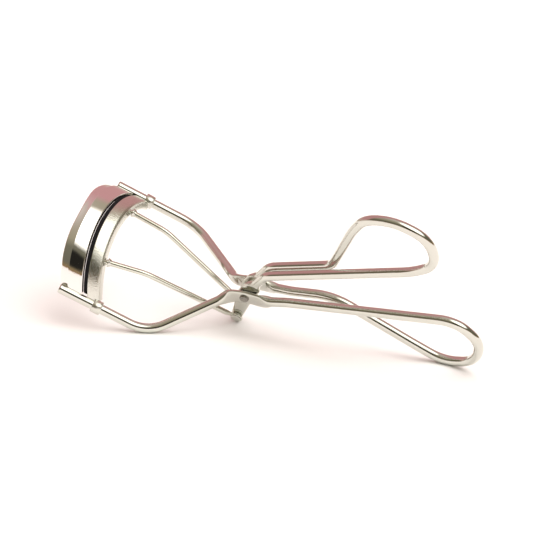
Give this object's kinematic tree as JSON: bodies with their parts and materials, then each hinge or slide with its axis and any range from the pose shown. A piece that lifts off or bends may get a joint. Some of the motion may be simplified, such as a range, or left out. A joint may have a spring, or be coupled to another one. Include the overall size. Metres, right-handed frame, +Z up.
{
  "type": "eyelash curler",
  "caption": "Scissor-action eyelash curler: bent-wire frame with guide rods and finger loops, arched fixed jaw, sliding jaw with a rubber pad, and two pusher wires.",
  "frame": {"origin": "centre of the footprint of the closed tool's box, on the table it rests on", "axes": "+X from the jaws towards the finger loops, +Z up from the table, +Y towards the far guide rod"},
  "size_m": [0.1024, 0.039, 0.0448],
  "materials": {
    "frame_wire": "bright nickel plate on round steel wire",
    "handle_wire": "bright nickel plate on round steel wire",
    "polished_jaw": "mirror-polished nickel plate",
    "satin_jaw": "satin, brushed across the band",
    "pusher_wire": "bright nickel plate on thin steel wire",
    "turned_fittings": "bright nickel plate, riveted ends",
    "pad_rubber": "matt black silicone rubber"
  },
  "bodies": {
    "frame": {"frame_wire": "frame_wire", "fixed_jaw": "polished_jaw", "pivot_rivet": "turned_fittings", "pivot_spacer": "turned_fittings"},
    "handle": {"handle_wire": "handle_wire", "crank_pin": "turned_fittings", "crank_spacer": "turned_fittings"},
    "moving_jaw": {"moving_jaw": "satin_jaw", "lash_pad": "pad_rubber"},
    "pushers": {"pusher_wire_near": "pusher_wire", "pusher_wire_far": "pusher_wire", "pusher_collar_near": "turned_fittings", "pusher_collar_far": "turned_fittings"}
  },
  "joints": [
    {"name": "handle_pivot", "type": "hinge", "parent": "frame", "child": "handle", "pos_m": [-0.00892, 0.00437, 0.01145], "axis": [0.012, -0.8252, -0.5648], "range_deg": [0, 28]},
    {"name": "jaw_slide", "type": "slide", "parent": "frame", "child": "moving_jaw", "axis": [0.8576, 0.299, -0.4186], "range_m": [0, 0.00471]},
    {"name": "pusher_swing", "type": "hinge", "parent": "moving_jaw", "child": "pushers", "pos_m": [-0.04209, -0.00298, 0.02148], "axis": [0.012, -0.8252, -0.5648], "range_deg": [0, 3.06]}
  ],
  "couplings": [
    {"joint": "jaw_slide", "follows": "handle_pivot", "m_per_rad": 0.0095899},
    {"joint": "pusher_swing", "follows": "handle_pivot", "ratio": 0.1074}
  ]
}
